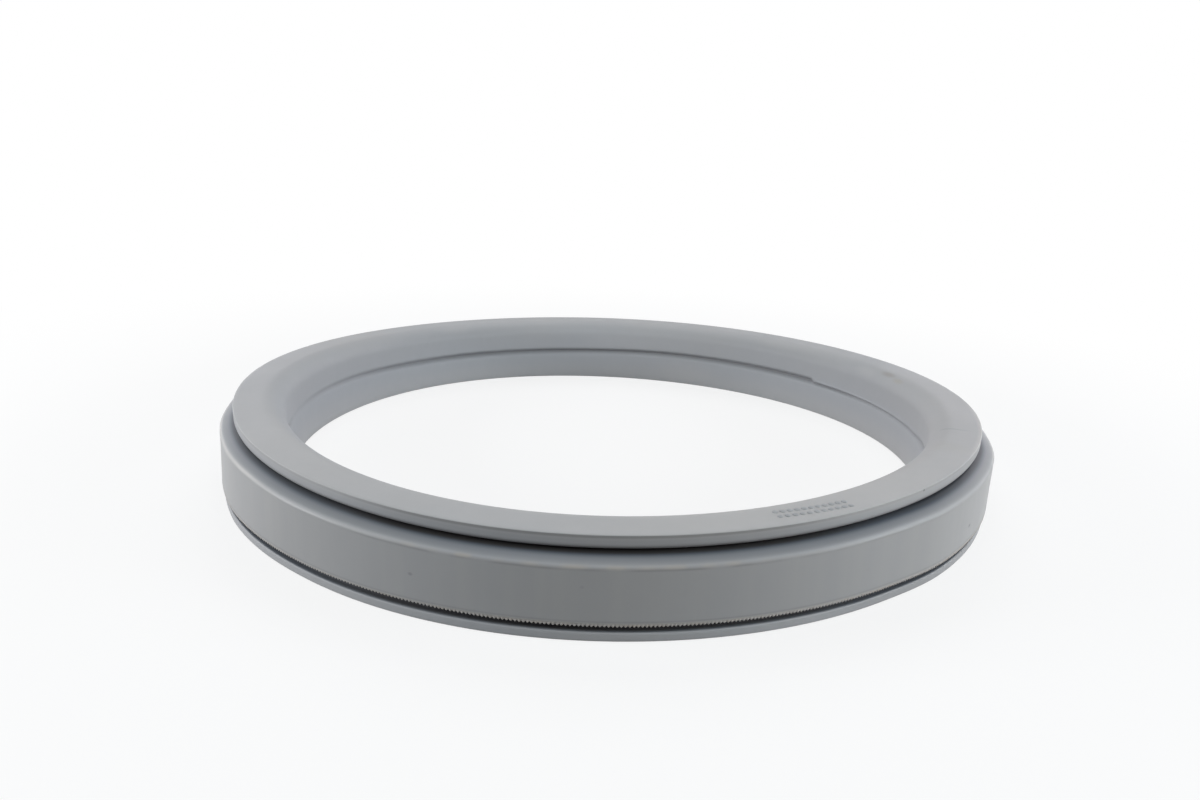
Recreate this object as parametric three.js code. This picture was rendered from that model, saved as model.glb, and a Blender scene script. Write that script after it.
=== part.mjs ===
// Door seal of a front-loading washing machine: one moulded rubber ring.
//
// The ring is one section turned about the Z axis. It lies on its rear face, with the door
// side up. Lengths are millimetres, and heights run up from the rear face.
import * as THREE from 'three';

// Whole ring
const OPENING_RADIUS = 157.5;
const BODY_WIDTH = 27.5;
const HEIGHT = 39;
const OUTER_RADIUS = OPENING_RADIUS + BODY_WIDTH;

// Door flange, flat on top, with a wide round into the opening
const FLANGE_WIDTH = 22.1;
const FLANGE_RADIUS = OPENING_RADIUS + FLANGE_WIDTH;
const FLANGE_THICKNESS = 4.8;
const FLANGE_TOP_ROUND = 0.4;
const FLANGE_UNDER_ROUND = 1.5;
const MOUTH_ROUND_ACROSS = 10.5;
const MOUTH_ROUND_DOWN = 8;

// Slot under the flange, for the sheet edge of the front panel
const PANEL_SLOT_GAP = 1.4;
const PANEL_SLOT_DEPTH = 11.5;

// Shoulder, which slopes down from the slot's mouth to the rim of the outer wall
const SHOULDER_WIDTH = 7.5;
const SHOULDER_FALL = 2.4;
const SLOT_MOUTH_ROUND = 4;
const SHOULDER_ROUND = 2.2;
const WALL_FOOT_ROUND = 0.3;

// Rear lip, under a narrow slot at the wall's foot
const REAR_LIP_THICKNESS = 3.8;
const REAR_LIP_SETBACK = 1;
const REAR_LIP_ROUND = 0.6;
const REAR_SLOT_GAP = 3;
const REAR_SLOT_DEPTH = 5;

// Crease round the inside, between the mouth and the lower band
const CREASE_DROP = 18.9;
const CREASE_WIDTH = 1.8;
const CREASE_DEPTH = 1.5;
const BAND_LEAN = 1;
const BAND_FOOT_ROUND = 0.6;

// Steps in each kind of curve
const RING_STEPS = 96;
const MOUTH_STEPS = 8;
const SHOULDER_STEPS = 5;
const SLOT_STEPS = 6;
const EDGE_STEPS = 2;

const COLOUR = 0xa2a4a6;
const ROUGHNESS = 0.6;

// Points of an elliptical arc, from one angle to another. Zero degrees points away from the
// ring's axis and ninety degrees points up.
function arc(centreRadius, centreHeight, across, down, fromDegrees, toDegrees, steps) {
  const points = [];
  for (let step = 0; step <= steps; step += 1) {
    const degrees = THREE.MathUtils.lerp(fromDegrees, toDegrees, step / steps);
    const angle = THREE.MathUtils.degToRad(degrees);
    const radius = centreRadius + across * Math.cos(angle);
    const height = centreHeight + down * Math.sin(angle);
    points.push(new THREE.Vector2(radius, height));
  }
  return points;
}

function roundedCorner(centreRadius, centreHeight, size, fromDegrees, toDegrees, steps = EDGE_STEPS) {
  return arc(centreRadius, centreHeight, size, size, fromDegrees, toDegrees, steps);
}

// Half-round end of a slot that opens outwards, from its upper side to its lower side.
function slotEnd(deepestRadius, topHeight, gap) {
  const half = gap / 2;
  return arc(deepestRadius + half, topHeight - half, half, half, 90, 270, SLOT_STEPS);
}

// Inside of the ring, from the rear face up to the mouth.
function innerSide() {
  const creaseHeight = HEIGHT - CREASE_DROP;
  const footRadius = OPENING_RADIUS - BAND_LEAN;
  return [
    ...roundedCorner(footRadius + BAND_FOOT_ROUND, BAND_FOOT_ROUND, BAND_FOOT_ROUND, 270, 180),
    new THREE.Vector2(OPENING_RADIUS, creaseHeight - CREASE_WIDTH / 2),
    new THREE.Vector2(OPENING_RADIUS + CREASE_DEPTH, creaseHeight),
    new THREE.Vector2(OPENING_RADIUS, creaseHeight + CREASE_WIDTH / 2),
    ...arc(
      OPENING_RADIUS + MOUTH_ROUND_ACROSS,
      HEIGHT - MOUTH_ROUND_DOWN,
      MOUTH_ROUND_ACROSS,
      MOUTH_ROUND_DOWN,
      180,
      90,
      MOUTH_STEPS,
    ),
  ];
}

// Flange's edge and the slot under it, from the flat top down to the slot's lower side.
function flangeSide() {
  const underHeight = HEIGHT - FLANGE_THICKNESS;
  const topRoundRadius = FLANGE_RADIUS - FLANGE_TOP_ROUND;
  const underRoundRadius = FLANGE_RADIUS - FLANGE_UNDER_ROUND;
  const underRoundHeight = underHeight + FLANGE_UNDER_ROUND;
  return [
    ...roundedCorner(topRoundRadius, HEIGHT - FLANGE_TOP_ROUND, FLANGE_TOP_ROUND, 90, 0),
    ...roundedCorner(underRoundRadius, underRoundHeight, FLANGE_UNDER_ROUND, 0, -90, EDGE_STEPS + 1),
    ...slotEnd(FLANGE_RADIUS - PANEL_SLOT_DEPTH, underHeight, PANEL_SLOT_GAP),
  ];
}

// Sloping shoulder, from the panel slot's mouth down to the top of the outer wall. A round leads
// into the slope and another one leads out of it, and both touch the slope's line.
function shoulder() {
  const slotFloor = HEIGHT - FLANGE_THICKNESS - PANEL_SLOT_GAP;
  const slope = Math.atan2(SHOULDER_FALL, SHOULDER_WIDTH);
  const slopeDegrees = THREE.MathUtils.radToDeg(slope);
  const mouthRadius = OUTER_RADIUS - SHOULDER_WIDTH;
  const mouthRoundRadius = mouthRadius - SLOT_MOUTH_ROUND * Math.tan(slope / 2);
  const rimRadius = OUTER_RADIUS - SHOULDER_ROUND;
  const rimTouchRadius = rimRadius + SHOULDER_ROUND * Math.sin(slope);
  const rimTouchHeight = slotFloor - Math.tan(slope) * (rimTouchRadius - mouthRadius);
  const rimHeight = rimTouchHeight - SHOULDER_ROUND * Math.cos(slope);
  return [
    ...roundedCorner(
      mouthRoundRadius,
      slotFloor - SLOT_MOUTH_ROUND,
      SLOT_MOUTH_ROUND,
      90,
      90 - slopeDegrees,
    ),
    ...roundedCorner(rimRadius, rimHeight, SHOULDER_ROUND, 90 - slopeDegrees, 0, SHOULDER_STEPS),
  ];
}

// Shoulder, outer wall and rear lip, from the panel slot down to the rear face.
function outerSide() {
  const wallFootHeight = REAR_LIP_THICKNESS + REAR_SLOT_GAP;
  const lipRoundRadius = OUTER_RADIUS - REAR_LIP_SETBACK - REAR_LIP_ROUND;
  const lipTopRoundHeight = REAR_LIP_THICKNESS - REAR_LIP_ROUND;
  return [
    ...shoulder(),
    ...roundedCorner(
      OUTER_RADIUS - WALL_FOOT_ROUND,
      wallFootHeight + WALL_FOOT_ROUND,
      WALL_FOOT_ROUND,
      0,
      -90,
      1,
    ),
    ...slotEnd(OUTER_RADIUS - REAR_SLOT_DEPTH, wallFootHeight, REAR_SLOT_GAP),
    ...roundedCorner(lipRoundRadius, lipTopRoundHeight, REAR_LIP_ROUND, 90, 0),
    ...roundedCorner(lipRoundRadius, REAR_LIP_ROUND, REAR_LIP_ROUND, 0, -90),
  ];
}

// The whole section as one closed outline. It is turned round to run down the inside, so that
// the turned surface faces outwards.
function sealSection() {
  const outline = [...innerSide(), ...flangeSide(), ...outerSide()];
  outline.push(outline[0].clone());
  return outline.reverse();
}

function buildSeal() {
  const geometry = new THREE.LatheGeometry(sealSection(), RING_STEPS);
  geometry.rotateX(Math.PI / 2);
  const material = new THREE.MeshStandardMaterial({
    color: COLOUR,
    roughness: ROUGHNESS,
    metalness: 0,
  });
  const seal = new THREE.Mesh(geometry, material);
  seal.name = 'door_seal';
  return seal;
}

const part = new THREE.Group();
part.add(buildSeal());

export default part;
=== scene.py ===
import math

import bpy
import numpy as np
from mathutils import Matrix, Vector


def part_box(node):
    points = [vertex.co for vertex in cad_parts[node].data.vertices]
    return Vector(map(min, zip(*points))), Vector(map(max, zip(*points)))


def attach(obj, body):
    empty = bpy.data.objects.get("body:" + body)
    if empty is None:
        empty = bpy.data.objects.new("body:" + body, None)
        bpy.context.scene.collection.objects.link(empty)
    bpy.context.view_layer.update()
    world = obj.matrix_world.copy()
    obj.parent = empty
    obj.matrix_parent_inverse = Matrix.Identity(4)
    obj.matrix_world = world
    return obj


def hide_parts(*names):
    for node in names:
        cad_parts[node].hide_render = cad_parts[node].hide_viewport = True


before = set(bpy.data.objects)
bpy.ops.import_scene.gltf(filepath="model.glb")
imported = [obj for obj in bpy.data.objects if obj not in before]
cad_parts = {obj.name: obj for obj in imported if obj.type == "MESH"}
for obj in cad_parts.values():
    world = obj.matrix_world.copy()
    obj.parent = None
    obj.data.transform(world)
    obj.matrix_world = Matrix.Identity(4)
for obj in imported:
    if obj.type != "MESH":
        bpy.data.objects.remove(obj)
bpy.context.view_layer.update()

MM = 0.001
FULL_TURN = 2 * math.pi

# Outer sizes of the ring, from the frame
RING_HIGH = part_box("door_seal")[1]
OUTER_RADIUS = RING_HIGH[0]
HEIGHT = RING_HIGH[2]

# Section of the ring
OPENING_RADIUS = OUTER_RADIUS - 27.5 * MM
FLANGE_RADIUS = OUTER_RADIUS - 5.4 * MM
FLANGE_THICKNESS = 5.1 * MM
FLANGE_TOP_ROUND = 0.35 * MM
FLANGE_UNDER_ROUND = 1.5 * MM
MOUTH_ROUND_ACROSS = 10.5 * MM
MOUTH_ROUND_DOWN = 8 * MM
PANEL_SLOT_GAP = 1.4 * MM
PANEL_SLOT_DEPTH = 11.5 * MM
SHOULDER_WIDTH = 7.5 * MM
SHOULDER_FALL = 2.1 * MM
SLOT_MOUTH_ROUND = 4 * MM
SHOULDER_ROUND = 2.2 * MM
WALL_FOOT_ROUND = 0.3 * MM
REAR_LIP_THICKNESS = 3.4 * MM
REAR_LIP_SETBACK = 1 * MM
REAR_LIP_ROUND = 0.6 * MM
REAR_SLOT_GAP = 3.4 * MM
REAR_SLOT_DEPTH = 5 * MM
CREASE_DROP = 18.9 * MM
CREASE_DEPTH = 2.0 * MM
BAND_LEAN = 1 * MM
BAND_FOOT_ROUND = 0.6 * MM
PARTING_DROP = 3.6 * MM

FLANGE_UNDERSIDE = HEIGHT - FLANGE_THICKNESS
SLOT_FLOOR = FLANGE_UNDERSIDE - PANEL_SLOT_GAP
SLOT_END = FLANGE_RADIUS - PANEL_SLOT_DEPTH
SLOT_MOUTH = OUTER_RADIUS - SHOULDER_WIDTH
WALL_FOOT = REAR_LIP_THICKNESS + REAR_SLOT_GAP
REAR_SLOT_END = OUTER_RADIUS - REAR_SLOT_DEPTH
LIP_RADIUS = OUTER_RADIUS - REAR_LIP_SETBACK
CREASE_HEIGHT = HEIGHT - CREASE_DROP
PARTING_HEIGHT = SLOT_FLOOR - PARTING_DROP
WALL_TOP = SLOT_FLOOR - SHOULDER_FALL

# Part of the inside where the crease may run, with closer rows
CREASE_ZONE_LOW = CREASE_HEIGHT - 4.8 * MM
CREASE_ZONE_HIGH = CREASE_HEIGHT + 3.4 * MM
CREASE_ZONE_LEAN = 0.1 * MM

# Steps round the ring, and rows of faces in each part of the section
RING_STEPS = 640
CORNER_ROWS = 3
SLOT_END_ROWS = 6
BAND_FOOT_ROWS = 4
BAND_ROWS = 6
CREASE_ZONE_ROWS = 25
FUNNEL_ROWS = 4
MOUTH_ROWS = 14
FLANGE_TOP_ROWS = 6
FLANGE_EDGE_ROWS = 6
UNDER_ROUND_ROWS = 6
PANEL_SLOT_ROWS = 4
SHOULDER_ROWS = 11
RIM_ROWS = 8
PARTING_ROWS = 5
WALL_ROWS = 5
WALL_FOOT_ROWS = 5
FOOT_ROUND_ROWS = 2
REAR_SLOT_ROWS = 5
LIP_EDGE_ROWS = 3
REAR_FACE_ROWS = 4

# Heights of the closer rows round the parting line and over the wall's foot
PARTING_ROWS_HEIGHT = 1 * MM
WALL_FOOT_ROWS_HEIGHT = 1.5 * MM

# Points of the section closer than this count as one.
SAME_PLACE = 0.01 * MM


def arc(centre, across, down, start, end, steps):
    """Points of an elliptical arc in the section, between two angles in degrees."""
    angles = np.radians(np.linspace(start, end, steps + 1))
    return [(centre[0] + across * math.cos(a), centre[1] + down * math.sin(a)) for a in angles]


def round_corner(centre, size, start, end, steps=CORNER_ROWS):
    return arc(centre, size, size, start, end, steps)


def line(start, end, steps):
    """Points from start to end, without either end."""
    shares = np.linspace(0, 1, steps + 1)[1:-1]
    return [(start[0] + (end[0] - start[0]) * t, start[1] + (end[1] - start[1]) * t) for t in shares]


def slot_end(deepest, top, gap):
    """Half-round end of a slot that opens outwards."""
    return arc((deepest + gap / 2, top - gap / 2), gap / 2, gap / 2, 90, 270, SLOT_END_ROWS)


def inner_rows():
    """Inside of the ring, from the rear face up to the mouth and over the flat flange."""
    foot = OPENING_RADIUS - BAND_LEAN
    foot_centre = (foot + BAND_FOOT_ROUND, BAND_FOOT_ROUND)
    zone_low = (OPENING_RADIUS - CREASE_ZONE_LEAN, CREASE_ZONE_LOW)
    zone_high = (OPENING_RADIUS, CREASE_ZONE_HIGH)
    mouth_foot = (OPENING_RADIUS, HEIGHT - MOUTH_ROUND_DOWN)
    mouth_centre = (OPENING_RADIUS + MOUTH_ROUND_ACROSS, HEIGHT - MOUTH_ROUND_DOWN)
    mouth_top = (mouth_centre[0], HEIGHT)
    flange_edge = (FLANGE_RADIUS - FLANGE_TOP_ROUND, HEIGHT)
    return [
        *round_corner(foot_centre, BAND_FOOT_ROUND, 270, 180, BAND_FOOT_ROWS),
        *line((foot, BAND_FOOT_ROUND), zone_low, BAND_ROWS),
        zone_low,
        *line(zone_low, zone_high, CREASE_ZONE_ROWS),
        zone_high,
        *line(zone_high, mouth_foot, FUNNEL_ROWS),
        *arc(mouth_centre, MOUTH_ROUND_ACROSS, MOUTH_ROUND_DOWN, 180, 90, MOUTH_ROWS),
        *line(mouth_top, flange_edge, FLANGE_TOP_ROWS),
    ]


def flange_rows():
    """Flange's edge, and the slot under it for the front panel."""
    top_centre = (FLANGE_RADIUS - FLANGE_TOP_ROUND, HEIGHT - FLANGE_TOP_ROUND)
    under_centre = (FLANGE_RADIUS - FLANGE_UNDER_ROUND, FLANGE_UNDERSIDE + FLANGE_UNDER_ROUND)
    slot_start = (under_centre[0], FLANGE_UNDERSIDE)
    slot_deep = (SLOT_END + PANEL_SLOT_GAP / 2, FLANGE_UNDERSIDE)
    return [
        *round_corner(top_centre, FLANGE_TOP_ROUND, 90, 0),
        *line((FLANGE_RADIUS, top_centre[1]), (FLANGE_RADIUS, under_centre[1]), FLANGE_EDGE_ROWS),
        *round_corner(under_centre, FLANGE_UNDER_ROUND, 0, -90, UNDER_ROUND_ROWS),
        *line(slot_start, slot_deep, PANEL_SLOT_ROWS),
        *slot_end(SLOT_END, FLANGE_UNDERSIDE, PANEL_SLOT_GAP),
    ]


def shoulder_rows():
    """Slot's floor, then the shoulder that slopes down from its mouth to the outer wall."""
    slope = math.atan2(SHOULDER_FALL, SHOULDER_WIDTH)
    mouth_shift = SLOT_MOUTH_ROUND * math.tan(slope / 2)
    mouth_centre = (SLOT_MOUTH - mouth_shift, SLOT_FLOOR - SLOT_MOUTH_ROUND)
    rim_radius = OUTER_RADIUS - SHOULDER_ROUND
    rim_touch = rim_radius + SHOULDER_ROUND * math.sin(slope)
    rim_touch_height = SLOT_FLOOR - math.tan(slope) * (rim_touch - SLOT_MOUTH)
    rim_centre = (rim_radius, rim_touch_height - SHOULDER_ROUND * math.cos(slope))
    slope_degrees = math.degrees(slope)
    mouth = round_corner(mouth_centre, SLOT_MOUTH_ROUND, 90, 90 - slope_degrees)
    rim = round_corner(rim_centre, SHOULDER_ROUND, 90 - slope_degrees, 0, RIM_ROWS)
    return [
        *line((SLOT_END + PANEL_SLOT_GAP / 2, SLOT_FLOOR), mouth[0], PANEL_SLOT_ROWS),
        *mouth,
        *line(mouth[-1], rim[0], SHOULDER_ROWS),
        *rim,
    ]


def wall_rows():
    """Outer wall and rear lip, down to the rear face."""
    rim_end = (OUTER_RADIUS, shoulder_rows()[-1][1])
    parting_low = (OUTER_RADIUS, rim_end[1] - PARTING_ROWS_HEIGHT)
    foot_centre = (OUTER_RADIUS - WALL_FOOT_ROUND, WALL_FOOT + WALL_FOOT_ROUND)
    foot_low = (OUTER_RADIUS, foot_centre[1])
    foot_high = (OUTER_RADIUS, foot_centre[1] + WALL_FOOT_ROWS_HEIGHT)
    slot_start = (REAR_SLOT_END + REAR_SLOT_GAP / 2, REAR_LIP_THICKNESS)
    lip_centre = LIP_RADIUS - REAR_LIP_ROUND
    lip_top = REAR_LIP_THICKNESS - REAR_LIP_ROUND
    ring_foot = (OPENING_RADIUS - BAND_LEAN + BAND_FOOT_ROUND, 0)
    return [
        *line(rim_end, parting_low, PARTING_ROWS),
        parting_low,
        *line(parting_low, foot_high, WALL_ROWS),
        foot_high,
        *line(foot_high, foot_low, WALL_FOOT_ROWS),
        *round_corner(foot_centre, WALL_FOOT_ROUND, 0, -90, FOOT_ROUND_ROWS),
        *line((foot_centre[0], WALL_FOOT), (REAR_SLOT_END, WALL_FOOT), REAR_SLOT_ROWS),
        *slot_end(REAR_SLOT_END, WALL_FOOT, REAR_SLOT_GAP),
        *line(slot_start, (lip_centre, REAR_LIP_THICKNESS), REAR_SLOT_ROWS),
        *round_corner((lip_centre, lip_top), REAR_LIP_ROUND, 90, 0),
        *line((LIP_RADIUS, lip_top), (LIP_RADIUS, REAR_LIP_ROUND), LIP_EDGE_ROWS),
        *round_corner((lip_centre, REAR_LIP_ROUND), REAR_LIP_ROUND, 0, -90),
        *line((lip_centre, 0), ring_foot, REAR_FACE_ROWS),
    ]


def section_rows():
    """The whole section as one closed outline, with no two points in the same place."""
    rows = [*inner_rows(), *flange_rows(), *shoulder_rows(), *wall_rows()]
    kept = []
    for row in rows:
        if not kept or math.dist(row, kept[-1]) > SAME_PLACE:
            kept.append(row)
    return np.array(kept)


# Levels round the ring: first a level all round, then rises over stretches of it. Each rise is
# a height and its start, end and fade in degrees. The front is at 270 and the right side at 0.
# The outer wall bulges a little at both sides, and more at its foot on the left.
WALL_BULGE = (0, (0.6 * MM, 202, 214, 12), (1.1 * MM, 316, 338, 12))
FOOT_BULGE = (0, (0.7 * MM, 206, 222, 14))
# The flange's outer edge droops a little more at the front.
DROOP = (0, (0.25 * MM, 262, 312, 24))
DROOP_INNER = OPENING_RADIUS + 8 * MM

# The soft ring lies slightly out of round, and its upper half sags towards the front.
LOBES = 0.01036
LOBES_TURN = math.radians(14.5)
OVAL = 0.00072
OVAL_TURN = math.radians(45)
SHAPE_SCALE = 0.9993
SHAPE_SHIFT = (-1.39 * MM, 1.32 * MM)
SAG_MIDDLE = 1.538 * MM
SAG_SIDES = 0.935 * MM
SAG_SIDES_TURN = math.radians(8.4)
SAG_LOBES = 0.672 * MM
SAG_LOBES_TURN = math.radians(-40.2)
SAG_TOP = 30.6 * MM


def smooth_step(value, low, high):
    t = np.clip((value - low) / (high - low), 0, 1)
    return t * t * (3 - 2 * t)


def turn_of(angle):
    """Angle in degrees, from 0 up to 360."""
    return np.degrees(angle) % 360


def window(angle, start, end, fade):
    """One between two angles in degrees, and zero outside them."""
    turn = turn_of(angle)
    return smooth_step(turn, start - fade, start) * (1 - smooth_step(turn, end, end + fade))


def round_ring(angle, levels):
    """Level at each angle, from a level all round and its rises."""
    total, *rises = levels
    for rise, start, end, fade in rises:
        total = total + rise * window(angle, start, end, fade)
    return total


def wall_bulge(radius, height, angle):
    below_slot = 1 - smooth_step(height, SLOT_FLOOR, FLANGE_UNDERSIDE)
    wall = smooth_step(radius, SLOT_END, SLOT_MOUTH) * below_slot
    foot = 1 - smooth_step(height, 0, WALL_TOP)
    return wall * (round_ring(angle, WALL_BULGE) + foot * round_ring(angle, FOOT_BULGE))


def edge_droop(radius, height, angle):
    flange = smooth_step(height, SLOT_FLOOR, FLANGE_UNDERSIDE)
    return flange * smooth_step(radius, DROOP_INNER, FLANGE_RADIUS) * round_ring(angle, DROOP)


def settled(radius, height, angle):
    """Place on the ring as it lies, for a place on the true round ring."""
    lobes = LOBES * np.cos(3 * (angle - LOBES_TURN))
    oval = OVAL * np.cos(2 * (angle - OVAL_TURN))
    reach = radius * SHAPE_SCALE * (1 + lobes + oval) + wall_bulge(radius, height, angle)
    sides = SAG_SIDES * np.cos(2 * (angle - SAG_SIDES_TURN))
    front = SAG_LOBES * np.cos(3 * (angle - SAG_LOBES_TURN))
    sag = np.minimum(sides + front - SAG_MIDDLE, 0)
    share = np.clip((height - WALL_FOOT) / (SAG_TOP - WALL_FOOT), 0, 1)
    x = reach * np.cos(angle) + SHAPE_SHIFT[0]
    y = reach * np.sin(angle) + SHAPE_SHIFT[1]
    z = height + share * sag - edge_droop(radius, height, angle)
    return np.stack([x, y, z], axis=-1)


def bell(distance, width):
    """One at no distance, which fades out over about the given width."""
    return np.exp(-((distance / width) ** 2))


def near(rows, place, width):
    """How near each row of the section is to one place in it, from 0 to 1."""
    return bell(np.hypot(rows[:, 0] - place[0], rows[:, 1] - place[1]), width)


def wander(angle, seed, finest):
    """A smooth random line round the ring, from about -1 to 1."""
    dice = np.random.default_rng(seed)
    total = np.zeros_like(angle)
    for wave in range(1, finest + 1):
        total += dice.normal() * np.cos(wave * angle + dice.uniform(0, FULL_TURN))
    return total / math.sqrt(finest)


# Crease round the inside. It is deep and wide behind, has a step at one place, and goes on
# from there as a thin fold that runs lower. Angles are degrees. Those of the thin part run
# from -180 to 180.
CREASE_STEP = 36.2
CREASE_STEP_LENGTH = 0.6
CREASE_FAR_END = 300
CREASE_FADE = (118, 206)
CREASE_SINK = 0.65 * MM
CREASE_SINK_BEHIND = (0, (1.0 * MM, 100, 136, 28))
CREASE_IN_FRONT = (0, (0.55, 200, 345, 14))
WIDE_CREASE = 1.6 * MM
THIN_CREASE = 0.9 * MM
THIN_SINK = 1.6 * MM
THIN_STRENGTH = 0.45
THIN_RISE = 0.3
THIN_RISE_SPAN = (18, 32)
THIN_START_SPAN = (-28, -10)
LOW_PART_SPAN = (-10, 0)


def crease_shape(angle):
    """Strength, sink below the crease's mean height, and half width, at each angle."""
    turn = turn_of(angle)
    signed = (turn + 180) % 360 - 180
    past_step = smooth_step(turn, CREASE_STEP, CREASE_STEP + CREASE_STEP_LENGTH)
    past_step = past_step * (turn < CREASE_FAR_END)
    wide = past_step * (1 - smooth_step(turn, *CREASE_FADE))
    thin_strength = THIN_STRENGTH + THIN_RISE * smooth_step(signed, *THIN_RISE_SPAN)
    thin = (1 - past_step) * thin_strength * smooth_step(signed, *THIN_START_SPAN)
    strength = np.maximum(np.maximum(wide, thin), round_ring(angle, CREASE_IN_FRONT))
    low_part = (1 - past_step) * smooth_step(signed, *LOW_PART_SPAN)
    sink = CREASE_SINK + round_ring(angle, CREASE_SINK_BEHIND)
    sink = sink * (1 - low_part) + THIN_SINK * low_part
    width = WIDE_CREASE * (1 - low_part) + THIN_CREASE * low_part
    return strength, sink, width


def make_mesh(name, places, faces, material):
    mesh = bpy.data.meshes.new(name)
    mesh.from_pydata(places.tolist(), [], faces)
    mesh.materials.append(material)
    mesh.shade_smooth()
    piece = bpy.data.objects.new(name, mesh)
    bpy.context.scene.collection.objects.link(piece)
    return piece


def grid_faces(steps, rows):
    """Faces of a grid that closes on itself both ways, turned to face outwards."""
    step, row = np.meshgrid(np.arange(steps), np.arange(rows), indexing="ij")
    here = step * rows
    there = (step + 1) % steps * rows
    next_row = (row + 1) % rows
    corners = [here + row, there + row, there + next_row, here + next_row]
    return np.stack(corners, axis=-1).reshape(-1, 4)[:, ::-1]


def add_point_values(piece, name, values):
    attribute = piece.data.attributes.new(name, "FLOAT", "POINT")
    attribute.data.foreach_set("value", values.astype(np.float32).ravel())


# Fine raised line where the mould's halves met, under the shoulder
PARTING_RISE = 0.08 * MM
PARTING_LINE = ((OUTER_RADIUS, PARTING_HEIGHT), 0.35 * MM)
PARTING_FOOT_SPAN = (WALL_FOOT, WALL_FOOT + 3 * MM)
PARTING_MEAN = 0.6
PARTING_SWING = 0.4
PARTING_SEED = 5
PARTING_FINEST = 60

# Thin fold over the low part of the crease
FOLD_RISE = 0.3 * MM
FOLD_ABOVE_CREASE = 1.2 * MM
FOLD_WIDTH = 0.6 * MM
FOLD = (0, (1, 6, 33, 5))


def below_parting(rows, angle):
    """How far the wall stands back from the parting line's crest."""
    parting = near(rows, *PARTING_LINE)[None, :]
    swing = np.clip(wander(angle, PARTING_SEED, PARTING_FINEST), -1, 1)
    rise = parting * (PARTING_MEAN + PARTING_SWING * swing)
    on_wall = rows[:, 0] > OUTER_RADIUS - PARTING_RISE / 2
    on_wall = on_wall * smooth_step(rows[:, 1], *PARTING_FOOT_SPAN)
    return PARTING_RISE * on_wall[None, :] * (1 - rise)


def build_ring(material):
    """The moulded ring, with its crease and its parting line, and the dirt, dust, painted shade and
    painted light on it.
    """
    rows = section_rows()
    angle = np.linspace(0, FULL_TURN, RING_STEPS, endpoint=False)[:, None]
    row_radius = rows[None, :, 0]
    row_height = rows[None, :, 1]

    strength, sink, width = crease_shape(angle)
    inside = row_radius < OPENING_RADIUS + SAME_PLACE
    from_crease = row_height - (CREASE_HEIGHT - sink)
    crease = inside * strength * bell(from_crease, width)
    fold = inside * round_ring(angle, FOLD) * bell(from_crease - FOLD_ABOVE_CREASE, FOLD_WIDTH)
    radius = row_radius + CREASE_DEPTH * crease - FOLD_RISE * fold - below_parting(rows, angle)

    places = settled(radius, row_height + 0 * angle, angle)
    faces = grid_faces(RING_STEPS, len(rows))
    piece = make_mesh("rubber_ring", places.reshape(-1, 3), faces.tolist(), material)
    add_point_values(piece, "dirt_and_shade", np.clip(ring_dirt_and_shade(rows, angle, crease), 0, 1))
    add_point_values(piece, "wall", np.repeat(wall_share(rows)[None, :], RING_STEPS, axis=0))
    add_point_values(piece, "inside", np.repeat(inside_share(rows)[None, :], RING_STEPS, axis=0))
    add_point_values(piece, "dust", ring_dust(rows, angle))
    add_point_values(piece, "painted_light", np.clip(painted_light_share(rows, angle), 0, 1))
    add_point_values(piece, "shade", np.clip(ring_shade(rows, angle), 0, 1))
    return piece


# Where each kind of rubber, painted shade, painted light or dirt fades in the section, as two radii
# or two heights
WALL_SPAN = (OUTER_RADIUS - 0.5 * MM, OUTER_RADIUS - 0.1 * MM)
WALL_FOOT_SPAN = (WALL_FOOT, WALL_FOOT + 0.4 * MM)
INSIDE_SPAN = (OPENING_RADIUS, OPENING_RADIUS + 3 * MM)
MOUTH_SPAN = (CREASE_ZONE_HIGH + 4 * MM, HEIGHT - 2 * MM)
FLANGE_TOP_SPAN = (HEIGHT - 2.5 * MM, HEIGHT - 0.1 * MM)
FLANGE_EDGE_SPAN = (FLANGE_RADIUS - 1.6 * MM, FLANGE_RADIUS - 0.1 * MM)
FLANGE_EDGE_TOP = HEIGHT - 0.2 * MM
LOW_ON_EDGE_SPAN = (FLANGE_UNDERSIDE + 0.1 * MM, FLANGE_UNDERSIDE + 2.2 * MM)
BAND_SPAN = (1 * MM, 15 * MM)
PANEL_SLOT_SPAN = (FLANGE_RADIUS - 1 * MM, FLANGE_RADIUS + 0.7 * MM)
BY_FLANGE_SPAN = (FLANGE_RADIUS, FLANGE_RADIUS + 2 * MM)
REAR_SLOT_SPAN = (OUTER_RADIUS - 3 * MM, OUTER_RADIUS - 1.2 * MM)
LIP_SHADE_SPAN = (OUTER_RADIUS - 1.6 * MM, OUTER_RADIUS - 0.95 * MM)
LIP_TOP_EDGE = REAR_LIP_THICKNESS - 0.3 * MM
LIP_EDGE_INNER = LIP_RADIUS - 1 * MM
BODY_INNER = OPENING_RADIUS + 1 * MM

# Lines along the ring: place in the section, and half width
RIM_HIGHLIGHT_LINE = ((OUTER_RADIUS - 0.5 * MM, PARTING_HEIGHT + 1.2 * MM), 0.9 * MM)
FLANGE_HIGHLIGHT_LINE = ((FLANGE_RADIUS, HEIGHT - 0.3 * MM), 0.6 * MM)
UNDER_PARTING_LINE = ((OUTER_RADIUS, PARTING_HEIGHT - 0.1 * MM), 0.45 * MM)
OVER_FOOT_LINE = ((OUTER_RADIUS, WALL_FOOT + 1.1 * MM), 0.3 * MM)
DUSTY_RIM_LINE = ((OUTER_RADIUS - 0.3 * MM, PARTING_HEIGHT + 0.9 * MM), 0.8 * MM)
DUSTY_FOOT_LINE = ((OUTER_RADIUS - 0.1 * MM, WALL_FOOT + 0.3 * MM), 0.35 * MM)
EDGE_TOP_LINE = HEIGHT - 0.6 * MM
EDGE_TOP_WIDTH = 0.35 * MM
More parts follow.
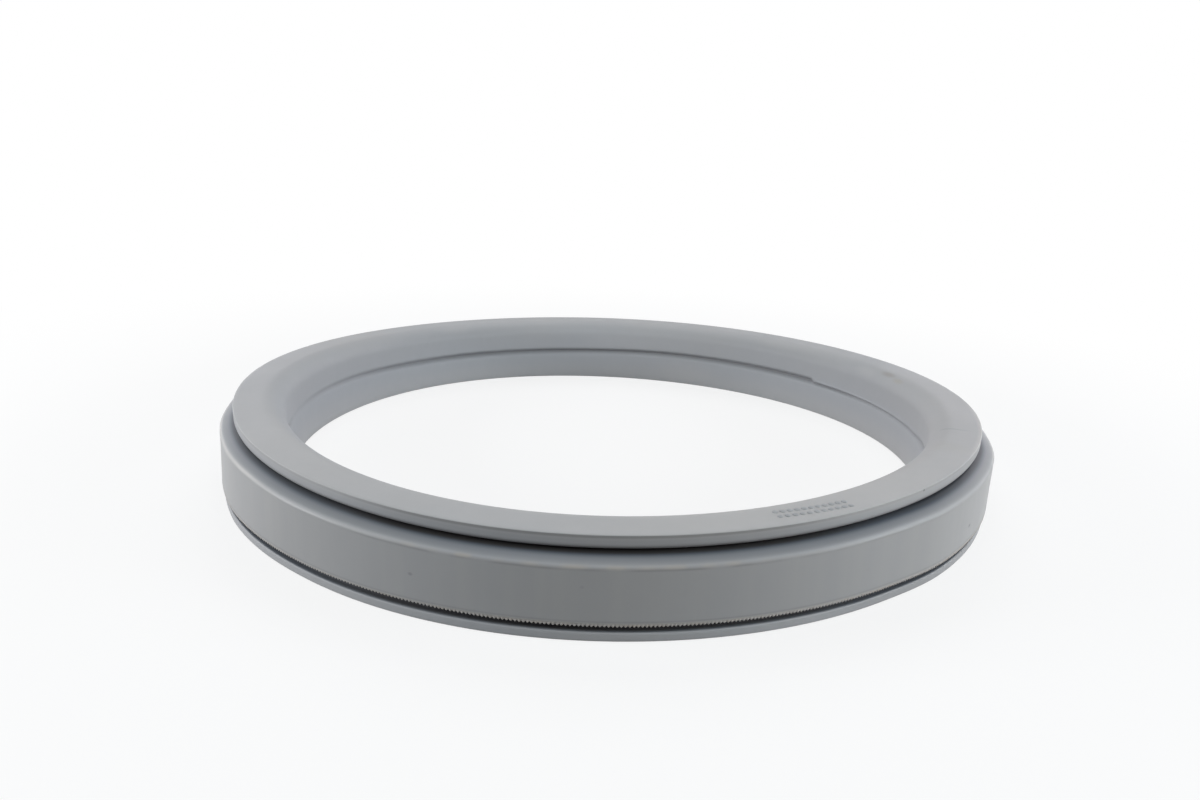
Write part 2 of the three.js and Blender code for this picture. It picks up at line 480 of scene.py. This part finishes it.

# Levels of painted shade, painted light, dirt and dust, from 0 to 1, with their rises round the ring
INSIDE_UPPER = 0.5
# The shoulder's and the lip top's bluish darkening is painted shade.
SHOULDER_SHADE = (0.36, (0.14, 256, 312, 16), (0.08, 192, 234, 16), (0.08, 306, 348, 16))
SHADE_BY_FLANGE = 0.25
LIP_TOP_SHADE = (0.42, (0.2, 192, 234, 16), (0.2, 306, 348, 16))
# The paler flange, the paler band low inside and the pale lines along two rims are painted light and
# painted highlights.
FLANGE_PAINTED_LIGHT = (0.05, (0.27, 225, 305, 45), (0.1, 282, 308, 12))
FLANGE_RIM_HIGHLIGHT = (0, (0.7, 334, 350, 8))
BAND_PAINTED_LIGHT = 0.3
RIM_HIGHLIGHT = (0, (0.55, 198, 220, 10), (0.16, 224, 250, 8), (0.4, 340, 352, 8))
# The flange edge's darkening is painted shade with some dirt: a shadow line along its top, its
# shaded foot and a darker front.
EDGE_DIRT_AND_SHADE = 0.14
EDGE_TOP_SHADE = 0.24
LOW_EDGE_SHADE = 0.42
FRONT_EDGE = (0, (1, 252, 288, 14))
FRONT_EDGE_SHADE = 0.1
FRONT_EDGE_TOP_SHADE = 0.2
# The darkening in the panel slot and the rear slot is painted shade, lighter at the sides.
PANEL_SLOT_SHADE = (0.95, (-0.35, 192, 234, 16), (-0.35, 306, 348, 16))
REAR_SLOT_SHADE = (0.7, (-0.45, 192, 234, 16), (-0.45, 306, 348, 16))
# The lip is darker, more from 304 to 324 degrees.
LIP_DARKER = (0.03, (0.12, 304, 324, 10))
PARTING_GRIME = (0.04, (0.15, 250, 284, 12))
OVER_FOOT_GRIME = 0.2
# The darkening along the crease is painted shade.
CREASE_SHADE = 0.5
RIM_DUST = (0.06, (0.5, 256, 282, 10))
FOOT_DUST = 0.45

# Broken runs of dirt and dust: mean, swing, seed and finest wave
BROKEN_GRIME = (0.55, 0.6, 8, 90)
BROKEN_DUST = (0.2, 0.9, 21, 120)


def broken_runs(angle, mean, swing, seed, finest):
    """A random level round the ring, from 0 to 1."""
    return np.clip(mean + swing * wander(angle, seed, finest), 0, 1)


def wall_share(rows):
    """One on the outer wall, and zero elsewhere."""
    return smooth_step(rows[:, 0], *WALL_SPAN) * smooth_step(rows[:, 1], *WALL_FOOT_SPAN)


def inside_share(rows):
    """One inside the opening, where a cooler, slightly paler grey is a painted tint of the bluish
    light there, and zero elsewhere.
    """
    inner = 1 - smooth_step(rows[:, 0], *INSIDE_SPAN)
    upper = smooth_step(rows[:, 1], CREASE_HEIGHT, CREASE_ZONE_HIGH)
    mouth = smooth_step(rows[:, 1], *MOUTH_SPAN)
    return inner * (1 - INSIDE_UPPER * upper) * (1 - mouth)


def in_panel_slot(rows):
    """True in the slot under the flange and on the shoulder beside it."""
    radius = rows[:, 0]
    height = rows[:, 1]
    below_flange = height < FLANGE_UNDERSIDE + SAME_PLACE
    return (radius > SLOT_END - SAME_PLACE) * (height > WALL_TOP) * below_flange


def in_rear_slot(rows):
    """True in the slot at the wall's foot and on the lip's top beside it."""
    radius = rows[:, 0]
    height = rows[:, 1]
    below_wall = height < WALL_FOOT + SAME_PLACE
    return (radius > REAR_SLOT_END - SAME_PLACE) * (height > LIP_TOP_EDGE) * below_wall


def ring_shade(rows, angle):
    """Painted bluish shade on the rear lip's top, and on the shoulder, thicker by the flange."""
    radius = rows[:, 0]
    shade_level = np.clip((OUTER_RADIUS - radius) / (OUTER_RADIUS - FLANGE_RADIUS), 0, 1)[None, :]
    by_flange = 1 - smooth_step(radius, *BY_FLANGE_SPAN)[None, :]
    shade_level = shade_level * round_ring(angle, SHOULDER_SHADE) + SHADE_BY_FLANGE * by_flange
    shoulder = in_panel_slot(rows)[None, :] * shade_level
    lip = in_rear_slot(rows) * (1 - smooth_step(radius, *LIP_SHADE_SPAN))
    return shoulder + round_ring(angle, LIP_TOP_SHADE) * lip[None, :]


def painted_light_share(rows, angle):
    """Painted light: a paler flange, brighter at the front, a paler band low on the inside, and
    painted highlights along two rims.
    """
    radius = rows[:, 0]
    height = rows[:, 1]
    flange = smooth_step(height, *FLANGE_TOP_SPAN)[None, :]
    flange_rim = near(rows, *FLANGE_HIGHLIGHT_LINE)[None, :]
    band = (radius < OPENING_RADIUS + SAME_PLACE) * (1 - smooth_step(height, *BAND_SPAN))
    rim = near(rows, *RIM_HIGHLIGHT_LINE)[None, :]
    on_flange = flange * round_ring(angle, FLANGE_PAINTED_LIGHT)
    on_flange = on_flange + flange_rim * round_ring(angle, FLANGE_RIM_HIGHLIGHT)
    return on_flange + BAND_PAINTED_LIGHT * band[None, :] + rim * round_ring(angle, RIM_HIGHLIGHT)


def edge_dirt_and_shade(rows, angle):
    """Dirt and painted shade on the flange's edge: a painted shadow line along its top, painted
    shade on its foot, and more painted shade at the front.
    """
    radius = rows[:, 0]
    height = rows[:, 1]
    on_edge = smooth_step(radius, *FLANGE_EDGE_SPAN) * (radius < FLANGE_RADIUS + SAME_PLACE)
    on_edge = on_edge * (height > FLANGE_UNDERSIDE - SAME_PLACE) * (height < FLANGE_EDGE_TOP)
    low_on_edge = 1 - smooth_step(height, *LOW_ON_EDGE_SPAN)
    top_line = bell(height - EDGE_TOP_LINE, EDGE_TOP_WIDTH)
    all_round = on_edge * (EDGE_DIRT_AND_SHADE + EDGE_TOP_SHADE * top_line + LOW_EDGE_SHADE * low_on_edge)
    front = on_edge * (FRONT_EDGE_SHADE + FRONT_EDGE_TOP_SHADE * top_line)
    return all_round[None, :], front[None, :] * round_ring(angle, FRONT_EDGE)


def ring_dirt_and_shade(rows, angle, crease):
    """Dark colour: painted shade with some dirt on the flange's edge, painted shade in both slots
    and in the crease, and dirt under the parting line.
    """
    radius = rows[:, 0]
    height = rows[:, 1]
    edge, edge_front = edge_dirt_and_shade(rows, angle)
    panel_slot = in_panel_slot(rows) * (1 - smooth_step(radius, *PANEL_SLOT_SPAN))
    panel_slot = panel_slot[None, :] * round_ring(angle, PANEL_SLOT_SHADE)
    rear_slot = in_rear_slot(rows) * (1 - smooth_step(radius, *REAR_SLOT_SPAN))
    rear_slot = rear_slot[None, :] * round_ring(angle, REAR_SLOT_SHADE)
    on_body = radius > BODY_INNER
    section = np.maximum(np.maximum(edge, panel_slot), rear_slot) * on_body[None, :]
    on_lip = (height < REAR_LIP_THICKNESS + SAME_PLACE) * (radius > LIP_EDGE_INNER)
    lip = on_lip[None, :] * round_ring(angle, LIP_DARKER)
    under_parting = near(rows, *UNDER_PARTING_LINE)[None, :] * broken_runs(angle, *BROKEN_GRIME)
    parting = under_parting * round_ring(angle, PARTING_GRIME)
    over_foot = OVER_FOOT_GRIME * near(rows, *OVER_FOOT_LINE)[None, :]
    return section + lip + edge_front + parting + over_foot + CREASE_SHADE * crease


def ring_dust(rows, angle):
    """Pale dust, caught in broken runs along the rim, and all along the wall's foot."""
    rim = near(rows, *DUSTY_RIM_LINE)[None, :] * broken_runs(angle, *BROKEN_DUST)
    foot = near(rows, *DUSTY_FOOT_LINE)[None, :]
    return rim * round_ring(angle, RIM_DUST) + FOOT_DUST * foot


# Fine teeth along the outer wall's foot. They hang lower from the front round to the right.
TOOTH_PITCH = 1.37 * MM
TOOTH_HEIGHT = 1.05 * MM
TOOTH_HANG = (0.2, (0.5, 264, 350, 20))
TOOTH_SWELL = 0.6
TOOTH_INNER = 0.3 * MM
TOOTH_OVERLAP = 0.3 * MM
TOOTH_THINNEST = 0.06 * MM
TOOTH_REACH = 0.23 * MM
TOOTH_STEPS = 6
TOOTH_TURNS = (150, 90, 30, -30, -90, -150)


def build_teeth(material):
    teeth = round(FULL_TURN * OUTER_RADIUS / TOOTH_PITCH)
    steps = teeth * TOOTH_STEPS
    angle = np.linspace(0, FULL_TURN, steps, endpoint=False)[:, None]
    swell = 0.5 + 0.5 * np.cos(FULL_TURN * np.arange(steps) / TOOTH_STEPS)[:, None]
    turns = np.radians(TOOTH_TURNS)[None, :]
    radius = OUTER_RADIUS - TOOTH_INNER + (TOOTH_THINNEST + TOOTH_REACH * swell) * np.cos(turns)
    hang = TOOTH_HEIGHT * (round_ring(angle, TOOTH_HANG) + TOOTH_SWELL * swell)
    height = WALL_FOOT + TOOTH_OVERLAP + hang * (np.sin(turns) - 1) / 2
    places = settled(radius, height, angle + 0 * turns)
    faces = grid_faces(steps, turns.shape[1])
    return make_mesh("wall_foot_teeth", places.reshape(-1, 3), faces.tolist(), material)


# Plain raised dots on the flange
DOT_START = 290.6
DOT_END = 300.2
DOTS_IN_ROW = 11
DOT_SIZE = 1.15 * MM
DOT_RISE = 0.5 * MM
DOT_SINK = 0.05 * MM
DOT_ROWS = (169.7 * MM, 173.2 * MM)
DOT_ROW_LEAN = 2 * MM
DOT_SIDES = 16
DOT_RINGS = 4
DOT_POINTS = DOT_RINGS * DOT_SIDES + 1


def dot_places(centre_radius, centre_angle):
    """A shallow dome: rings of points from its foot up, then its top."""
    tilt = np.linspace(0, math.pi / 2, DOT_RINGS, endpoint=False)[:, None]
    turn = np.linspace(0, FULL_TURN, DOT_SIDES, endpoint=False)[None, :]
    radius = centre_radius + DOT_SIZE * np.cos(tilt) * np.cos(turn)
    angle = centre_angle + DOT_SIZE * np.cos(tilt) * np.sin(turn) / centre_radius
    foot = HEIGHT - DOT_SINK
    height = foot + DOT_RISE * np.sin(tilt) + 0 * turn
    domes = settled(radius, height, angle).reshape(-1, 3)
    top = settled(np.array([centre_radius]), np.array([foot + DOT_RISE]), np.array([centre_angle]))
    return np.concatenate([domes, top])


def dot_faces(first):
    """Faces of one dome, closed at its top and its foot."""
    faces = [tuple(first + side for side in reversed(range(DOT_SIDES)))]
    top = first + DOT_RINGS * DOT_SIDES
    for side in range(DOT_SIDES):
        after = (side + 1) % DOT_SIDES
        for ring in range(DOT_RINGS - 1):
            low = first + ring * DOT_SIDES
            faces.append((low + side, low + after, low + DOT_SIDES + after, low + DOT_SIDES + side))
        faces.append((top - DOT_SIDES + side, top - DOT_SIDES + after, top))
    return faces


def build_dots(material):
    places = []
    faces = []
    for row_radius in DOT_ROWS:
        for share in np.linspace(0, 1, DOTS_IN_ROW):
            centre_angle = math.radians(DOT_START + (DOT_END - DOT_START) * share)
            faces.extend(dot_faces(len(places) * DOT_POINTS))
            places.append(dot_places(row_radius + DOT_ROW_LEAN * share, centre_angle))
    return make_mesh("flange_dots", np.concatenate(places), faces, material)


def new_material(name):
    material = bpy.data.materials.new(name)
    material.use_nodes = True
    tree = material.node_tree
    shader = tree.nodes["Principled BSDF"]
    return material, tree, shader


def add_node(tree, kind, **settings):
    node = tree.nodes.new(kind)
    for name, value in settings.items():
        setattr(node, name, value)
    return node


def plug(tree, socket, value):
    """Link a socket to another one, or set it to a number or a colour."""
    if isinstance(value, bpy.types.NodeSocket):
        tree.links.new(value, socket)
    elif isinstance(value, tuple):
        socket.default_value = (*value, 1)
    else:
        socket.default_value = value


def math_node(tree, operation, *values, clamp=False):
    node = add_node(tree, "ShaderNodeMath", operation=operation, use_clamp=clamp)
    for socket, value in zip(node.inputs, values):
        plug(tree, socket, value)
    return node.outputs[0]


def fade_node(tree, distance, from_min, from_max, to_min, to_max):
    """Smooth change of a value, from one number to another, over a span of distances."""
    fade = add_node(tree, "ShaderNodeMapRange", interpolation_type="SMOOTHSTEP")
    fade.inputs["From Min"].default_value = from_min
    fade.inputs["From Max"].default_value = from_max
    fade.inputs["To Min"].default_value = to_min
    fade.inputs["To Max"].default_value = to_max
    tree.links.new(distance, fade.inputs["Value"])
    return fade.outputs["Result"]


def stretch_values(tree, value, low, high):
    """Stretch values so that low becomes 0 and high becomes 1, and cut off what lies outside."""
    scale = 1 / (high - low)
    return math_node(tree, "MULTIPLY_ADD", value, scale, -low * scale, clamp=True)


def noise(tree, scale, detail, roughness=0.5, stretch=(1, 1, 1)):
    """Noise in the object's own coordinates, about 0.5 on average."""
    place = add_node(tree, "ShaderNodeTexCoord")
    mapping = add_node(tree, "ShaderNodeMapping")
    mapping.inputs["Scale"].default_value = stretch
    tree.links.new(place.outputs["Object"], mapping.inputs["Vector"])
    texture = add_node(tree, "ShaderNodeTexNoise")
    texture.inputs["Scale"].default_value = scale
    texture.inputs["Detail"].default_value = detail
    texture.inputs["Roughness"].default_value = roughness
    tree.links.new(mapping.outputs["Vector"], texture.inputs["Vector"])
    return texture.outputs["Fac"]


# Sockets of a mix node that mixes colours: its share, its two colours and its result
MIX_SHARE, MIX_FIRST, MIX_SECOND = 0, 6, 7
MIX_RESULT = 2


def mix_colour(tree, share, first, second):
    node = add_node(tree, "ShaderNodeMix", data_type="RGBA")
    plug(tree, node.inputs[MIX_SHARE], share)
    plug(tree, node.inputs[MIX_FIRST], first)
    plug(tree, node.inputs[MIX_SECOND], second)
    return node.outputs[MIX_RESULT]


def point_value(tree, name):
    return add_node(tree, "ShaderNodeAttribute", attribute_name=name).outputs["Fac"]


# Colours of the rubber, of the dirt, smears and dust on it, and of its painted light and shade
RUBBER_COOL = (0.370, 0.375, 0.390)
RUBBER_WARM = (0.388, 0.383, 0.386)
STREAK_WARM = (0.392, 0.380, 0.362)
MOTTLE_GREY = (0.27, 0.28, 0.295)
WALL_GREY = (0.292, 0.287, 0.285)
INSIDE_COOL = (0.391, 0.396, 0.414)
PAINTED_LIGHT_GREY = (0.58, 0.555, 0.53)
SHADE_BLUE = (0.035, 0.055, 0.085)
DIRT_AND_SHADE_BROWN = (0.030, 0.027, 0.026)
SPECK_GREY = (0.10, 0.10, 0.11)
SMEAR_BROWN = (0.27, 0.245, 0.215)
SMEAR_PALE = (0.37, 0.345, 0.305)
DUST_BEIGE = (0.44, 0.395, 0.345)

# Noise in the rubber: scale, detail, roughness and stretch
BROAD_NOISE = (9, 3)
STREAK_NOISE = (110, 3, 0.6, (1, 1, 0.04))
MOTTLE_NOISE = (160, 4, 0.65)
GLOSS_NOISE = (45, 3)
GRAIN_NOISE = (2400, 2)
WAVE_NOISE = (70, 2)
PATCH_NOISE = (90, 3)

# Levels of the noise that become 0 and 1
BROAD_SPAN = (0.27, 0.73)
STREAK_SPAN = (0.42, 0.75)
PATCH_SPAN = (0.2, 0.8)

# Shares of the streaks, the wall's grey, which is painted shade, and the mottle, then the shine and
# the roughness
STREAK_LEVEL = 0.22
WALL_GREY_LEVEL = 0.6
MOTTLE_GAIN = 0.16
MOTTLE_OFFSET = -0.04
RUBBER_SHINE = 0.28
RUBBER_ROUGHNESS = 0.50
ROUGHNESS_GAIN = 0.16
WALL_SMOOTHER = 0.14
TEETH_ROUGHNESS = 0.7

# Bumps of the surface: strength and height
GRAIN_BUMP = (0.25, 0.05 * MM)
WAVE_BUMP = (0.35, 0.35 * MM)

# Small marks: radius, height and angle on the ring, half sizes across, along and up, colour
# and strength. Each is full in its middle fifth and fades out from there.
MARK_CORE = 0.2
MARKS = (
    ((185.0, 18.0, 250.7), (1.0, 1.3, 0.9), SPECK_GREY, 0.35),
    ((185.0, 21.8, 268.5), (1.0, 1.0, 0.8), SPECK_GREY, 0.15),
    ((185.0, 14.5, 323.2), (1.2, 1.7, 1.1), SPECK_GREY, 0.6),
    ((179.6, 38.2, 312.1), (0.8, 0.6, 0.7), DIRT_AND_SHADE_BROWN, 0.7),
    ((163.2, 38.1, 16.2), (3.2, 9.0, 3.4), SMEAR_BROWN, 0.48),
    ((161.8, 37.5, 12.0), (2.6, 7.0, 3.0), SMEAR_PALE, 0.6),
    ((166.0, 39.0, 339.6), (12.0, 1.7, 2.4), MOTTLE_GREY, 0.42),
    # The pale patches low on the inside and on the mouth are painted light.
    ((157.2, 9.0, 70.0), (6.0, 30.0, 10.0), PAINTED_LIGHT_GREY, 0.13),
    ((162.0, 37.4, 48.0), (7.0, 26.0, 5.0), PAINTED_LIGHT_GREY, 0.10),
    ((162.0, 37.4, 128.0), (7.0, 16.0, 4.5), PAINTED_LIGHT_GREY, 0.12),
    ((160.0, 36.2, 22.0), (5.0, 12.0, 4.0), PAINTED_LIGHT_GREY, 0.10),
    ((157.6, 27.0, 100.0), (4.0, 30.0, 5.0), MOTTLE_GREY, 0.10),
    ((169.0, 39.0, 330.0), (12.0, 10.0, 3.0), STREAK_WARM, 0.35),
)


def add_mark(tree, colour, place, half_sizes, mark_colour, strength):
    """A soft spot on the surface, in the object's own coordinates."""
    radius, height, degrees = place
    angle = np.array(math.radians(degrees))
    centre = settled(np.array(radius * MM), np.array(height * MM), angle)
    where = add_node(tree, "ShaderNodeTexCoord")
    mapping = add_node(tree, "ShaderNodeMapping", vector_type="TEXTURE")
    mapping.inputs["Location"].default_value = centre.tolist()
    mapping.inputs["Rotation"].default_value = (0, 0, math.radians(degrees))
    mapping.inputs["Scale"].default_value = [size * MM for size in half_sizes]
    tree.links.new(where.outputs["Object"], mapping.inputs["Vector"])
    away = add_node(tree, "ShaderNodeVectorMath", operation="LENGTH")
    tree.links.new(mapping.outputs["Vector"], away.inputs[0])
    share = fade_node(tree, away.outputs["Value"], MARK_CORE, 1.0, strength, 0.0)
    return mix_colour(tree, share, colour, mark_colour)


def add_bump(tree, height, strength, distance, normal=None):
    bump = add_node(tree, "ShaderNodeBump")
    bump.inputs["Strength"].default_value = strength
    bump.inputs["Distance"].default_value = distance
    tree.links.new(height, bump.inputs["Height"])
    if normal:
        tree.links.new(normal, bump.inputs["Normal"])
    return bump.outputs["Normal"]


def rubber_colour(tree, wall):
    """Colour of the rubber, from its broad tints and painted light down to the marks, then the dust,
    painted shade and dirt on top.
    """
    broad = stretch_values(tree, noise(tree, *BROAD_NOISE), *BROAD_SPAN)
    colour = mix_colour(tree, broad, RUBBER_COOL, RUBBER_WARM)
    # The cooler grey inside the opening is painted light, a tint of the bluish light there.
    colour = mix_colour(tree, point_value(tree, "inside"), colour, INSIDE_COOL)
    # The outer wall's darker grey is painted shade, all round the wall.
    colour = mix_colour(tree, math_node(tree, "MULTIPLY", wall, WALL_GREY_LEVEL), colour, WALL_GREY)

    streaks = stretch_values(tree, noise(tree, *STREAK_NOISE), *STREAK_SPAN)
    streaks = math_node(tree, "MULTIPLY", streaks, math_node(tree, "MULTIPLY", wall, STREAK_LEVEL))
    colour = mix_colour(tree, streaks, colour, STREAK_WARM)
    colour = mix_colour(tree, point_value(tree, "painted_light"), colour, PAINTED_LIGHT_GREY)

    mottle = noise(tree, *MOTTLE_NOISE)
    mottle = math_node(tree, "MULTIPLY_ADD", mottle, MOTTLE_GAIN, MOTTLE_OFFSET)
    colour = mix_colour(tree, mottle, colour, MOTTLE_GREY)

    for place, half_sizes, mark_colour, strength in MARKS:
        colour = add_mark(tree, colour, place, half_sizes, mark_colour, strength)
    colour = mix_colour(tree, point_value(tree, "dust"), colour, DUST_BEIGE)
    # Painted bluish shade on the shoulder and the lip's top
    colour = mix_colour(tree, point_value(tree, "shade"), colour, SHADE_BLUE)
    # Dirt, and painted shade in the slots, in the crease and on the flange's edge
    return mix_colour(tree, point_value(tree, "dirt_and_shade"), colour, DIRT_AND_SHADE_BROWN)


def rubber_material():
    material, tree, shader = new_material("grey_rubber_moulded")
    wall = point_value(tree, "wall")
    tree.links.new(rubber_colour(tree, wall), shader.inputs["Base Color"])
    shader.inputs["Specular IOR Level"].default_value = RUBBER_SHINE

    gloss = noise(tree, *GLOSS_NOISE)
    gloss = math_node(tree, "MULTIPLY_ADD", gloss, ROUGHNESS_GAIN, RUBBER_ROUGHNESS)
    gloss = math_node(tree, "SUBTRACT", gloss, math_node(tree, "MULTIPLY", wall, WALL_SMOOTHER))
    tree.links.new(gloss, shader.inputs["Roughness"])

    grain = add_bump(tree, noise(tree, *GRAIN_NOISE), *GRAIN_BUMP)
    waves = add_bump(tree, noise(tree, *WAVE_NOISE), *WAVE_BUMP, grain)
    tree.links.new(waves, shader.inputs["Normal"])
    return material


def teeth_material():
    material, tree, shader = new_material("dusty_rubber")
    patches = stretch_values(tree, noise(tree, *PATCH_NOISE), *PATCH_SPAN)
    colour = mix_colour(tree, patches, DUST_BEIGE, RUBBER_WARM)
    tree.links.new(colour, shader.inputs["Base Color"])
    shader.inputs["Roughness"].default_value = TEETH_ROUGHNESS
    shader.inputs["Specular IOR Level"].default_value = RUBBER_SHINE
    return material


def main_pieces():
    rubber = rubber_material()
    ring = build_ring(rubber)
    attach(ring, "root")
    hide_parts("door_seal")
    for trim in (build_teeth(teeth_material()), build_dots(rubber)):
        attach(trim, "root")


# Floor and backdrop, white to the camera, with the ring's shadow kept on the floor
FLOOR_HALF = 6
FLOOR_DROP = 0.3 * MM
FLOOR_SEEN = 0.95
FLOOR_BOUNCE = 0.4
FLOOR_ROUGHNESS = 0.9
SHADOW_KEPT = 0.2
SHADOW_NEAR = 0.22
SHADOW_FAR = 0.6


def seen_rays(tree):
    """One for rays that show the background, and zero for those that only carry light."""
    path = add_node(tree, "ShaderNodeLightPath")
    seen = math_node(tree, "MAXIMUM", path.outputs["Is Camera Ray"], path.outputs["Is Glossy Ray"])
    return math_node(tree, "MAXIMUM", seen, path.outputs["Is Transmission Ray"])


def mix_shaders(tree, share, first, second, output):
    mix = add_node(tree, "ShaderNodeMixShader")
    tree.links.new(share, mix.inputs[0])
    tree.links.new(first, mix.inputs[1])
    tree.links.new(second, mix.inputs[2])
    tree.links.new(mix.outputs["Shader"], tree.nodes[output].inputs["Surface"])


def floor_material():
    material, tree, shader = new_material("pale_floor")
    seen = seen_rays(tree)
    level = math_node(tree, "MULTIPLY_ADD", seen, FLOOR_SEEN - FLOOR_BOUNCE, FLOOR_BOUNCE)
    tree.links.new(level, shader.inputs["Base Color"])
    shader.inputs["Roughness"].default_value = FLOOR_ROUGHNESS
    shader.inputs["Specular IOR Level"].default_value = 0
    place = add_node(tree, "ShaderNodeTexCoord")
    away = add_node(tree, "ShaderNodeVectorMath", operation="LENGTH")
    tree.links.new(place.outputs["Object"], away.inputs[0])
    fade = fade_node(tree, away.outputs["Value"], SHADOW_NEAR, SHADOW_FAR, 1 - SHADOW_KEPT, 1)
    white = add_node(tree, "ShaderNodeEmission")
    share = math_node(tree, "MULTIPLY", seen, fade)
    mix_shaders(tree, share, shader.outputs["BSDF"], white.outputs["Emission"], "Material Output")
    return material


def add_floor():
    half = FLOOR_HALF
    sides = ((-half, -half), (half, -half), (half, half), (-half, half))
    corners = [(x, y, -FLOOR_DROP) for x, y in sides]
    mesh = bpy.data.meshes.new("floor")
    mesh.from_pydata(corners, [], [(0, 1, 2, 3)])
    mesh.materials.append(floor_material())
    floor = bpy.data.objects.new("floor", mesh)
    bpy.context.scene.collection.objects.link(floor)


# Faint light from all round, and the background as it is seen
AMBIENT = (0.008, 0.011, 0.016)
WHITE = (1, 1, 1)


def add_world():
    world = bpy.data.worlds.new("studio")
    world.use_nodes = True
    tree = world.node_tree
    soft = tree.nodes["Background"]
    soft.inputs["Color"].default_value = (*AMBIENT, 1)
    white = add_node(tree, "ShaderNodeBackground")
    white.inputs["Color"].default_value = (*WHITE, 1)
    soft_light = soft.outputs["Background"]
    mix_shaders(tree, seen_rays(tree), soft_light, white.outputs["Background"], "World Output")
    bpy.context.scene.world = world


# Lamps: name, place, size, power and colour. All of them face the ring's middle.
LAMP_AIM = (0, 0, 0.02)
LAMPS = (
    ("high back", (0.0, 0.9, 1.1), (1.2, 0.8), 7.7, (0.98, 0.99, 1.0)),
    ("high front", (0.0, -0.9, 1.1), (1.2, 0.8), 6.2, (0.84, 0.95, 1.0)),
    ("back left", (-0.8, 0.8, 0.3), (0.8, 0.5), 1.9, (1.0, 0.94, 0.97)),
    ("back right", (0.8, 0.8, 0.3), (0.8, 0.5), 2.1, (1.0, 0.92, 0.98)),
    ("front right", (0.95, -0.5, 0.25), (0.6, 0.4), 3.4, (1.0, 0.90, 0.78)),
    ("side left", (-1.0, -0.25, 0.25), (0.5, 0.3), 7.7, (0.97, 0.985, 1.0)),
    ("side right", (1.0, -0.25, 0.25), (0.5, 0.3), 5.4, (0.77, 0.89, 1.0)),
)


def add_lamps():
    for name, place, size, power, colour in LAMPS:
        light = bpy.data.lights.new(name, "AREA")
        light.shape = "RECTANGLE"
        light.size, light.size_y = size
        light.energy = power
        light.color = colour
        lamp = bpy.data.objects.new(name, light)
        lamp.location = place
        towards = Vector(LAMP_AIM) - Vector(place)
        lamp.rotation_euler = towards.to_track_quat("-Z", "Y").to_euler()
        bpy.context.scene.collection.objects.link(lamp)


# Camera: its place, its lens in millimetres, and its turns in degrees
CAMERA_PLACE = (-0.78 * MM, -435.93 * MM, 154.44 * MM)
CAMERA_LENS = 26.41
CAMERA_CLIP_START = 0.01
SENSOR_WIDTH = 36
LOOK_DOWN = 14.809
LOOK_TURN = 0.467
LOOK_UP = -1.322
LOOK_ROLL = 2.425


def add_camera():
    camera_data = bpy.data.cameras.new("camera")
    camera_data.sensor_width = SENSOR_WIDTH
    camera_data.lens = CAMERA_LENS
    camera_data.clip_start = CAMERA_CLIP_START
    camera = bpy.data.objects.new("camera", camera_data)
    aim = (
        Matrix.Rotation(math.radians(90 - LOOK_DOWN), 4, "X")
        @ Matrix.Rotation(math.radians(LOOK_TURN), 4, "Y")
        @ Matrix.Rotation(math.radians(LOOK_UP), 4, "X")
        @ Matrix.Rotation(math.radians(LOOK_ROLL), 4, "Z")
    )
    camera.matrix_world = Matrix.Translation(CAMERA_PLACE) @ aim
    bpy.context.scene.collection.objects.link(camera)
    bpy.context.scene.camera = camera


main_pieces()
add_floor()
add_world()
add_lamps()
add_camera()
bpy.context.scene.view_settings.view_transform = "Standard"
